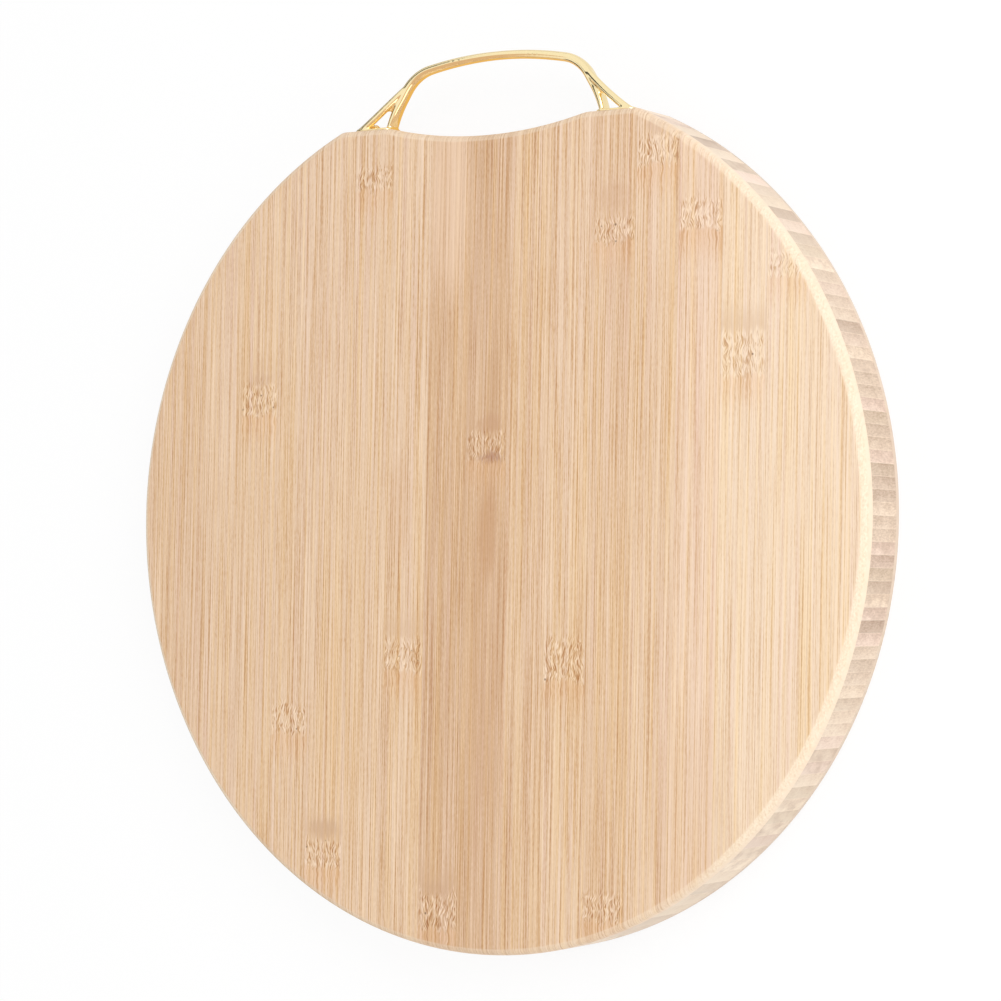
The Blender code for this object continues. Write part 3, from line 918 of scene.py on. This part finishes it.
# %% Sizes of the outline
BOARD_RADIUS = 0.180
ROUND_OVER = 0.0035
VALLEY_DEPTH = 0.0061
VALLEY_EASE_RADIUS = 0.020
SEAT_CORNER_RADIUS = 0.005
SEAT_INNER_X = 0.0517
SEAT_OUTER_X = 0.0725
SEAT_Y = SEAT_CORNER_RADIUS + math.sqrt((BOARD_RADIUS - SEAT_CORNER_RADIUS) ** 2 - SEAT_OUTER_X ** 2)
VALLEY_Y = SEAT_Y - VALLEY_DEPTH
VALLEY_RADIUS = (SEAT_INNER_X ** 2 + VALLEY_DEPTH ** 2) / (2 * VALLEY_DEPTH) - VALLEY_EASE_RADIUS
VALLEY_STEPS = 16
CORNER_STEPS = 8
RIM_STEPS = 100


def swing(bm, vert, centre, degrees, steps):
    """Draw an arc from a vertex about a centre, and return the vertex at its end."""
    made = bmesh.ops.spin(bm, geom=[vert], cent=(*centre, vert.co.z), axis=(0.0, 0.0, 1.0),
                          angle=math.radians(degrees), steps=steps, use_merge=False, use_duplicate=False)
    return [g for g in made["geom_last"] if isinstance(g, bmesh.types.BMVert)][0]


def outline_face(bottom):
    """A flat face in the shape of the board."""
    ease_centre = Vector((SEAT_INNER_X, SEAT_Y - VALLEY_EASE_RADIUS))
    valley_centre = Vector((0.0, VALLEY_Y + VALLEY_RADIUS))
    corner_centre = Vector((SEAT_OUTER_X, SEAT_Y - SEAT_CORNER_RADIUS))
    slope = math.degrees(math.atan2(SEAT_INNER_X, valley_centre.y - ease_centre.y))
    corner_angle = math.degrees(math.atan2(corner_centre.y, corner_centre.x))

    bm = bmesh.new()
    vert = bm.verts.new((0.0, VALLEY_Y, bottom))
    vert = swing(bm, vert, valley_centre, slope, VALLEY_STEPS)
    vert = swing(bm, vert, ease_centre, -slope, CORNER_STEPS)
    moved = bmesh.ops.extrude_vert_indiv(bm, verts=[vert])["verts"]
    bmesh.ops.translate(bm, verts=moved, vec=(SEAT_OUTER_X - SEAT_INNER_X, 0.0, 0.0))
    vert = swing(bm, moved[0], corner_centre, corner_angle - 90.0, CORNER_STEPS)
    swing(bm, vert, (0.0, 0.0), -corner_angle - 90.0, RIM_STEPS)
    bmesh.ops.mirror(bm, geom=bm.verts[:] + bm.edges[:], matrix=Matrix.Identity(4), merge_dist=1e-5, axis="X")
    bmesh.ops.edgeloop_fill(bm, edges=bm.edges[:])
    return bm


trial = outline_face(0.0)
print("outline:", len(trial.verts), "vertices")
trial.free()

# %% [markdown]
# ## Layers, strips and laths
#
# A layer is the outline drawn up by Extrude, and its outer edge is rounded with Bevel. The layer is then
# sawn into pieces as in a workshop: Bisect Plane cuts a copy at a joint, throws one side away, and the
# open cut is filled. The cuts pass through every joint, so the pieces touch and leave no gap.

# %% Layers and saw cuts
FACE_PLY_THICKNESS = 0.005
CORE_THICKNESS = 0.020
CORE_TOP = FACE_PLY_THICKNESS + CORE_THICKNESS
FACE_TOP = CORE_TOP + FACE_PLY_THICKNESS
ROUND_SEGMENTS = 8
SPARE_CUT = 0.01


def round_over(bm, edges, radius, segments):
    bmesh.ops.bevel(bm, geom=edges, offset=radius, offset_type="OFFSET", affect="EDGES",
                    segments=segments, profile=0.5, material=-1)


def make_layer(bottom, top, rounded_z):
    """One layer of the whole board, rounded over along its edge at one height."""
    bm = outline_face(bottom)
    raised = bmesh.ops.extrude_face_region(bm, geom=bm.faces[:])["geom"]
    raised = [g for g in raised if isinstance(g, bmesh.types.BMVert)]
    bmesh.ops.translate(bm, verts=raised, vec=(0.0, 0.0, top - bottom))
    if rounded_z is not None:
        rim = [e for e in bm.edges if all(abs(v.co.z - rounded_z) < 1e-5 for v in e.verts)]
        round_over(bm, rim, ROUND_OVER, ROUND_SEGMENTS)
    bmesh.ops.recalc_face_normals(bm, faces=bm.faces)
    return bm


def saw(bm, direction, position, keep_beyond):
    """Cut at a position along a direction, keep one side and close the cut."""
    cut = bmesh.ops.bisect_plane(bm, geom=bm.verts[:] + bm.edges[:] + bm.faces[:], dist=MERGE_DISTANCE,
                                 plane_co=position * direction, plane_no=direction,
                                 clear_inner=keep_beyond, clear_outer=not keep_beyond)
    open_edges = [g for g in cut["geom_cut"] if isinstance(g, bmesh.types.BMEdge)]
    bmesh.ops.edgeloop_fill(bm, edges=open_edges)


def saw_out(layer, direction, low, high):
    """The part of a layer between two joints."""
    piece = layer.copy()
    saw(piece, direction, low, True)
    saw(piece, direction, high, False)
    return piece


print("rounding over:", ROUND_OVER * 1000, "mm")

# %% [markdown]
# Each piece takes its two joints from the box of the solid that it stands for. The outermost ones have a
# joint on one side only, and a cut beyond the board's edge does no harm there.

# %% Saw out the strips and laths
ACROSS = Vector((1.0, 0.0, 0.0))
ALONG = Vector((0.0, 1.0, 0.0))


def make_pieces(prefix, layer, direction, material):
    nodes = sorted(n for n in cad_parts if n.startswith(prefix))
    for number, node in enumerate(nodes):
        low, high = (corner.dot(direction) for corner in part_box(node))
        low = low if number > 0 else low - SPARE_CUT
        high = high if number < len(nodes) - 1 else high + SPARE_CUT
        piece = add_piece(f"bamboo_{node}", saw_out(layer, direction, low, high), material, node)
        keep_flats_flat(piece)
    layer.free()
    return len(nodes)


fronts = make_pieces("front_strip_", make_layer(CORE_TOP, FACE_TOP, FACE_TOP), ACROSS,
                     front_bamboo)
backs = make_pieces("back_strip_", make_layer(0.0, FACE_PLY_THICKNESS, 0.0), ACROSS,
                    back_bamboo)
bundles = make_pieces("core_laths_", make_layer(FACE_PLY_THICKNESS, CORE_TOP, None), ALONG,
                      core_bamboo)
print("strips:", fronts, "+", backs, "bundles of laths:", bundles)

# %% [markdown]
# ## The bow handle
#
# The handle is one casting: a bar that arches over the valley, turns down round a shoulder on each side
# and ends in a leg. A second, thinner strut leaves each shoulder and leans out to the front corner of the
# flange, so that leg and strut straddle the screw. A small web of metal fills the crotch where they part.
#
# A bar like this is a loft. Rings of vertices stand at stations along its course, and Bridge Edge Loops
# draws the skin between them. The rings are a little square, as on a bar with rounded corners.

# %% Sizes of the handle
HANDLE_Z = 0.0195
HANDLE_RISE = 0.0281
CROWN_RADIUS = 0.175
CROWN_WIDTH = 0.0035
CROWN_DEPTH = 0.0052
SHOULDER_RADIUS = 0.019
LEG_ANGLE = 58.0
LEG_WIDTH = 0.0042
LEG_DEPTH = 0.0054
LEG_BEND_LENGTH = 0.013
LEG_END_ANGLE = 74.0
LEG_END_WIDTH = 0.0030
LEG_END_DEPTH = 0.0068
LEG_END_X = 0.0535
BOW_SQUARENESS = 2.4
FLANGE_X = 0.06085
FLANGE_LENGTH = 0.0183
FLANGE_DEPTH = 0.0112
FLANGE_THICKNESS = 0.0012
FLANGE_CORNER_RADIUS = 0.0028
FLANGE_ROUND = 0.0004
STRUT_DIAMETER = 0.0032
STRUT_ROOT_ANGLE = 44.0
STRUT_ROOT_FORWARD = 0.0030
STRUT_END_ANGLE = 33.0
STRUT_LEAD = 0.008
STRUT_END_INSET = 0.0002
WEB_DEPTH = 0.0024
WEB_RISE = 0.003
WEB_DROP = 0.0042
WEB_STEPS = 6
FLANGE_Y = SEAT_Y + FLANGE_THICKNESS
INSIDE_FLANGE_Y = SEAT_Y + FLANGE_THICKNESS / 2


def between(start, end, share):
    return start + (end - start) * share


def heading(degrees):
    """Direction that runs outwards and down at an angle to the seat."""
    return Vector((math.cos(math.radians(degrees)), -math.sin(math.radians(degrees))))


def upward_of(degrees):
    """Direction square to a heading, out of the bow."""
    return Vector((math.sin(math.radians(degrees)), math.cos(math.radians(degrees))))


def bow_lines():
    """Centres of crown and shoulder, and the two ends and the corner of the leg's bend."""
    leg_end = Vector((LEG_END_X, FLANGE_Y))
    bend_corner = leg_end - LEG_BEND_LENGTH / 2 * heading(LEG_END_ANGLE)
    bend_start = bend_corner - LEG_BEND_LENGTH / 2 * heading(LEG_ANGLE)
    crown_centre = Vector((0.0, SEAT_Y + HANDLE_RISE - CROWN_RADIUS))
    beside_leg = bend_start - SHOULDER_RADIUS * upward_of(LEG_ANGLE)
    along = (crown_centre - beside_leg).dot(heading(LEG_ANGLE))
    reach = (CROWN_RADIUS - SHOULDER_RADIUS) ** 2 - (beside_leg - crown_centre).length_squared
    shoulder_centre = beside_leg - (math.sqrt(along ** 2 + reach) - along) * heading(LEG_ANGLE)
    return crown_centre, shoulder_centre, bend_start, bend_corner, leg_end


print("shoulder centre:", bow_lines()[1])

# %% [markdown]
# The bow's course is a chain of arcs that meet without a corner: the crown, the tighter shoulder and the
# leg's bend. The bar grows a little thicker from the crown to the leg, and its foot is narrow but deep.

# %% Course of the bow
CROWN_STEPS = 36
SHOULDER_STEPS = 30
BEND_STEPS = 20
CROWN_SHARE = 7 / 16


def arc(centre, radius, start, end, steps):
    """Points of an arc between two angles."""
    angles = [between(start, end, i / steps) for i in range(steps + 1)]
    return [centre + radius * Vector((math.cos(a), math.sin(a))) for a in angles]


def bar_at(middle, centre, share):
    """Station on an arc, at a share of the way from the middle of the crown to the leg."""
    width = between(CROWN_WIDTH, LEG_WIDTH, share)
    depth = between(CROWN_DEPTH, LEG_DEPTH, share)
    return middle.to_3d(), (middle - centre).normalized().to_3d(), width, depth


def bow_stations():
    """Middle, outward direction, width and depth of the bar from the crown to the right foot."""
    crown_centre, shoulder_centre, bend_start, bend_corner, leg_end = bow_lines()
    turn = shoulder_centre - crown_centre
    turn_angle = math.atan2(turn.y, turn.x)
    leg_angle = math.radians(90.0 - LEG_ANGLE)
    crown = arc(crown_centre, CROWN_RADIUS, math.pi / 2, turn_angle, CROWN_STEPS)
    shoulder = arc(shoulder_centre, SHOULDER_RADIUS, turn_angle, leg_angle, SHOULDER_STEPS)

    stations = [bar_at(middle, crown_centre, CROWN_SHARE * i / CROWN_STEPS) for i, middle in enumerate(crown)]
    for i, middle in enumerate(shoulder[1:], start=1):
        stations.append(bar_at(middle, shoulder_centre, between(CROWN_SHARE, 1, i / SHOULDER_STEPS)))
    for i in range(1, BEND_STEPS + 1):
        share = i / BEND_STEPS
        before = bend_start.lerp(bend_corner, share)
        after = bend_corner.lerp(leg_end, share)
        down = (after - before).normalized()
        width = between(LEG_WIDTH, LEG_END_WIDTH, share)
        depth = between(LEG_DEPTH, LEG_END_DEPTH, share)
        stations.append((before.lerp(after, share).to_3d(), Vector((-down.y, down.x, 0.0)), width, depth))
    foot = Vector((leg_end.x, INSIDE_FLANGE_Y, 0.0))
    stations.append((foot, Vector((1.0, 0.0, 0.0)), LEG_END_WIDTH, LEG_END_DEPTH))
    return stations


print("stations from crown to foot:", len(bow_stations()))

# %% [markdown]
# A ring starts as a circle from Create Circle. Pushing its points outwards towards the corners makes it
# squarer, and a matrix lays it across the course, with the bar's width one way and its depth the other.

# %% Rings and lofts
BAR_SEGMENTS = 40


def add_ring(bm, middle, outward, width, depth, squareness, segments):
    """A closed loop across the course at a station, and its edges."""
    verts = bmesh.ops.create_circle(bm, segments=segments, radius=1.0, cap_ends=False)["verts"]
    for vert in verts:
        across, ahead = vert.co.x, vert.co.y
        vert.co.x = math.copysign(abs(across) ** (2 / squareness), across)
        vert.co.y = math.copysign(abs(ahead) ** (2 / squareness), ahead)
    sideways = outward * width / 2
    upward = Vector((0.0, 0.0, depth / 2))
    down_course = sideways.cross(upward)
    place = Matrix((sideways, upward, down_course)).transposed().to_4x4()
    place.translation = middle + Vector((0.0, 0.0, HANDLE_Z))
    bmesh.ops.transform(bm, matrix=place, verts=verts)
    return list({edge for vert in verts for edge in vert.link_edges})


def loft(bm, stations, squareness, segments):
    """A skin through a ring at each station, closed at both ends."""
    rings = [add_ring(bm, *station, squareness, segments) for station in stations]
    for ring, following in zip(rings, rings[1:]):
        bmesh.ops.bridge_loops(bm, edges=ring + following)
    for ring in (rings[0], rings[-1]):
        bmesh.ops.edgeloop_fill(bm, edges=ring)


def on_the_left(stations):
    return [(Vector((-m.x, m.y, m.z)), Vector((-o.x, o.y, o.z)), w, d) for m, o, w, d in stations]


def make_bar():
    """The bow from inside the left flange to inside the right one."""
    bm = bmesh.new()
    right = bow_stations()
    loft(bm, on_the_left(reversed(right[1:])) + right, BOW_SQUARENESS, BAR_SEGMENTS)
    return bm


def make_pair(stations, squareness, segments):
    """Two lofts, one on each side of the handle."""
    bm = bmesh.new()
    loft(bm, on_the_left(stations), squareness, segments)
    loft(bm, stations, squareness, segments)
    return bm


print("points in a ring of the bar:", BAR_SEGMENTS)

# %% [markdown]
# The strut's course is a smooth curve in space. It is steered by four points: its two ends, and a point a
# little way in from each end that sets the direction there. A place on the curve comes from drawing
# neighbouring points together by the same share, three times over.

# %% Struts
STRUT_STEPS = 30
STRUT_SEGMENTS = 28
ROUND = 2.0


def strut_stations():
    """Middle, outward direction, width and depth of the right strut, from the shoulder to the flange."""
    radius = STRUT_DIAMETER / 2
    stretch = 1 / math.sin(math.radians(STRUT_END_ANGLE))
    forward = Vector((0.0, 0.0, FLANGE_DEPTH / 2 - STRUT_END_INSET - radius))
    root = bow_lines()[1] + SHOULDER_RADIUS * upward_of(STRUT_ROOT_ANGLE)
    end = Vector((FLANGE_X + FLANGE_LENGTH / 2 - STRUT_END_INSET - radius * stretch, INSIDE_FLANGE_Y))
    root_forward = Vector((0.0, 0.0, STRUT_ROOT_FORWARD))
    course = [root.to_3d(),
              (root + STRUT_LEAD * heading(STRUT_ROOT_ANGLE)).to_3d() + root_forward,
              (end - STRUT_LEAD * heading(STRUT_END_ANGLE)).to_3d() + forward,
              end.to_3d() + forward]
    stations = []
    for i in range(STRUT_STEPS):
        share = i / STRUT_STEPS
        legs = [a.lerp(b, share) for a, b in zip(course, course[1:])]
        before, after = [a.lerp(b, share) for a, b in zip(legs, legs[1:])]
        down = (after - before).normalized()
        outward = Vector((-down.y, down.x, 0.0)).normalized()
        stations.append((before.lerp(after, share), outward, STRUT_DIAMETER, STRUT_DIAMETER))
    stations.append((course[3], Vector((1.0, 0.0, 0.0)), STRUT_DIAMETER * stretch, STRUT_DIAMETER))
    return stations


print("strut:", len(strut_stations()), "rings on each side")

# %% [markdown]
# The web is a loft too. Its rings are flat, and each reaches from the leg's middle line to the strut's at
# one height, so both ends are sunk in the bars that they join.

# %% Webs
WEB_SEGMENTS = 24


def at_height(course, y):
    """Point of a falling course at a height."""
    for above, below in zip(course, course[1:]):
        if above.y >= y >= below.y:
            return above.lerp(below, (above.y - y) / (above.y - below.y))
    return course[-1]


def web_stations():
    """The same for the right web, which starts a little above the place where leg and strut part."""
    leg_course = [station[0] for station in bow_stations()]
    strut_course = [station[0] for station in strut_stations()]
    touching = (LEG_WIDTH + STRUT_DIAMETER) / 2
    parting = next(p for p in strut_course if (p - at_height(leg_course, p.y)).length > touching)
    stations = []
    for i in range(WEB_STEPS + 1):
        y = parting.y + WEB_RISE - (WEB_RISE + WEB_DROP) * i / WEB_STEPS
        leg, strut = at_height(leg_course, y), at_height(strut_course, y)
        across = Vector((strut.x - leg.x, 0.0, strut.z - leg.z))
        stations.append((leg.lerp(strut, 0.5), across.normalized(), across.length, WEB_DEPTH))
    return stations


print("web:", len(web_stations()), "rings on each side")

# %% [markdown]
# The flange is a thin plate that lies on the board under each foot. A cube scaled to its size gets round
# corners and an eased upper edge with Bevel, and its lower face stays sharp and flat on the wood.

# %% Flanges
FLANGE_CORNER_STEPS = 8
FLANGE_ROUND_STEPS = 3


def make_flanges():
    """Plates with rounded corners and an eased upper edge."""
    whole = bmesh.new()
    for side in (-1, 1):
        plate = bmesh.new()
        place = Matrix.Translation((side * FLANGE_X, (SEAT_Y + FLANGE_Y) / 2, HANDLE_Z))
        size = Matrix.Diagonal((FLANGE_LENGTH, FLANGE_THICKNESS, FLANGE_DEPTH, 1.0))
        bmesh.ops.create_cube(plate, size=1.0, matrix=place @ size)
        corners = [e for e in plate.edges if abs(e.verts[0].co.y - e.verts[1].co.y) > FLANGE_THICKNESS / 2]
        round_over(plate, corners, FLANGE_CORNER_RADIUS, FLANGE_CORNER_STEPS)
        upper = [e for e in plate.edges if all(v.co.y > INSIDE_FLANGE_Y for v in e.verts)]
        round_over(plate, upper, FLANGE_ROUND, FLANGE_ROUND_STEPS)
        mesh = bpy.data.meshes.new("flange_plate")
        plate.to_mesh(mesh)
        plate.free()
        whole.from_mesh(mesh)
        bpy.data.meshes.remove(mesh)
    return whole


print("flanges:", FLANGE_LENGTH * 1000, "mm long")

# %% [markdown]
# Bar, struts, webs and flanges are joined with the Boolean modifier. A real casting has no sharp creases
# where its members meet, so the joined mesh is rebuilt from small cubes with Remesh and then smoothed a
# little, which fills the creases with small fillets and leaves the broad shapes as they are.

# %% Join the casting
CASTING_VOXEL = 0.00028
CASTING_SMOOTHING = 8


def raw_object(name, bm):
    """An object that is only material for a Boolean."""
    bmesh.ops.recalc_face_normals(bm, faces=bm.faces)
    return put_in_scene(name, bm)


def boolean(item, operation, other):
    """A modifier that joins another object to one, or cuts it out."""
    modifier = item.modifiers.new(other.name, "BOOLEAN")
    modifier.operation = operation
    modifier.solver = "EXACT"
    modifier.object = other
    return modifier


def with_modifiers(item, *others):
    """A bmesh of an object with its modifiers applied. All the raw objects are removed."""
    finished = item.evaluated_get(bpy.context.evaluated_depsgraph_get())
    bm = bmesh.new()
    bm.from_mesh(finished.to_mesh())
    finished.to_mesh_clear()
    for raw in (item, *others):
        mesh = raw.data
        bpy.data.objects.remove(raw)
        bpy.data.meshes.remove(mesh)
    return bm


def joined(first, *others):
    """One bmesh of several closed objects, joined and remeshed."""
    for other in others:
        boolean(first, "UNION", other)
    cubes = first.modifiers.new("small cubes", "REMESH")
    cubes.mode = "VOXEL"
    cubes.voxel_size = CASTING_VOXEL
    cubes.adaptivity = 0.0
    return with_modifiers(first, *others)


def keep_largest_piece(bm):
    """Take away the tiny closed bubbles that the cubes can leave inside a joint."""
    waiting = set(bm.verts)
    pieces = []
    while waiting:
        front = [waiting.pop()]
        piece = []
        while front:
            vert = front.pop()
            piece.append(vert)
            found = {edge.other_vert(vert) for edge in vert.link_edges} & waiting
            waiting -= found
            front.extend(found)
        pieces.append(piece)
    pieces.sort(key=len)
    for piece in pieces[:-1]:
        bmesh.ops.delete(bm, geom=piece, context="VERTS")


casting = joined(raw_object("bar", make_bar()),
                 raw_object("struts", make_pair(strut_stations(), ROUND, STRUT_SEGMENTS)),
                 raw_object("webs", make_pair(web_stations(), BOW_SQUARENESS, WEB_SEGMENTS)),
                 raw_object("flanges", make_flanges()))
keep_largest_piece(casting)
for _ in range(CASTING_SMOOTHING):
    bmesh.ops.smooth_vert(casting, verts=casting.verts, factor=0.5,
                          use_axis_x=True, use_axis_y=True, use_axis_z=True)
print("casting:", len(casting.faces), "faces")
add_piece("gold_handle", casting, gold, "handle", sharp_degrees=180.0)

# %% [markdown]
# ## Screws
#
# One round-headed screw stands between leg and strut on each side. Its half profile is a chain of a few
# vertices, and Spin turns it into a solid. A small cross is sunk into the head with a Boolean cut.

# %% Make the screws
SCREW_X = 0.06255
SHANK_RADIUS = 0.0011
HEAD_RADIUS = 0.0023
HEAD_HEIGHT = 0.0023
SCREW_LENGTH = 0.012
POINT_LENGTH = 0.003
CROSS_LENGTH = 0.0024
CROSS_WIDTH = 0.0005
CROSS_SINK = 0.0009
CROSS_TURN = 20.0
DOME_STEPS = 10


def make_screw_body():
    """A screw that stands on its point, with its head's seat at height zero."""
    bm = bmesh.new()
    angles = [math.pi / 2 * k / DOME_STEPS for k in range(DOME_STEPS + 1)]
    dome = [(HEAD_RADIUS * math.sin(angle), HEAD_HEIGHT * math.cos(angle)) for angle in angles]
    shank = [(SHANK_RADIUS, 0.0), (SHANK_RADIUS, POINT_LENGTH - SCREW_LENGTH), (0.0, -SCREW_LENGTH)]
    verts = [bm.verts.new((radius, 0.0, height)) for radius, height in dome + shank]
    edges = [bm.edges.new(pair) for pair in zip(verts, verts[1:])]
    bmesh.ops.spin(bm, geom=verts + edges, cent=(0.0, 0.0, 0.0), axis=(0.0, 0.0, 1.0),
                   angle=2 * math.pi, steps=40, use_merge=True)
    bmesh.ops.remove_doubles(bm, verts=bm.verts, dist=MERGE_DISTANCE)
    return bm


def make_cross():
    """Two crossed bars that cut the recess."""
    bm = bmesh.new()
    size = Matrix.Diagonal((CROSS_LENGTH, CROSS_WIDTH, 2 * CROSS_SINK, 1.0))
    for degrees in (CROSS_TURN, CROSS_TURN + 90.0):
        turn = Matrix.Rotation(math.radians(degrees), 4, "Z")
        place = Matrix.Translation((0.0, 0.0, HEAD_HEIGHT)) @ turn
        bmesh.ops.create_cube(bm, size=1.0, matrix=place @ size)
    return bm


def make_screw(side, x):
    screw = raw_object(f"screw_{side}_body", make_screw_body())
    cross = raw_object("cross", make_cross())
    boolean(screw, "DIFFERENCE", cross).use_self = True
    bm = with_modifiers(screw, cross)
    out_of_seat = Matrix.Translation((x, FLANGE_Y, HANDLE_Z)) @ Matrix.Rotation(math.radians(-90.0), 4, "X")
    bmesh.ops.transform(bm, matrix=out_of_seat, verts=bm.verts)
    add_piece(f"brass_screw_{side}", bm, brass, f"screw_{side}", sharp_degrees=50.0)


make_screw("left", -SCREW_X)
make_screw("right", SCREW_X)
print("screws at", -SCREW_X, "and", SCREW_X)
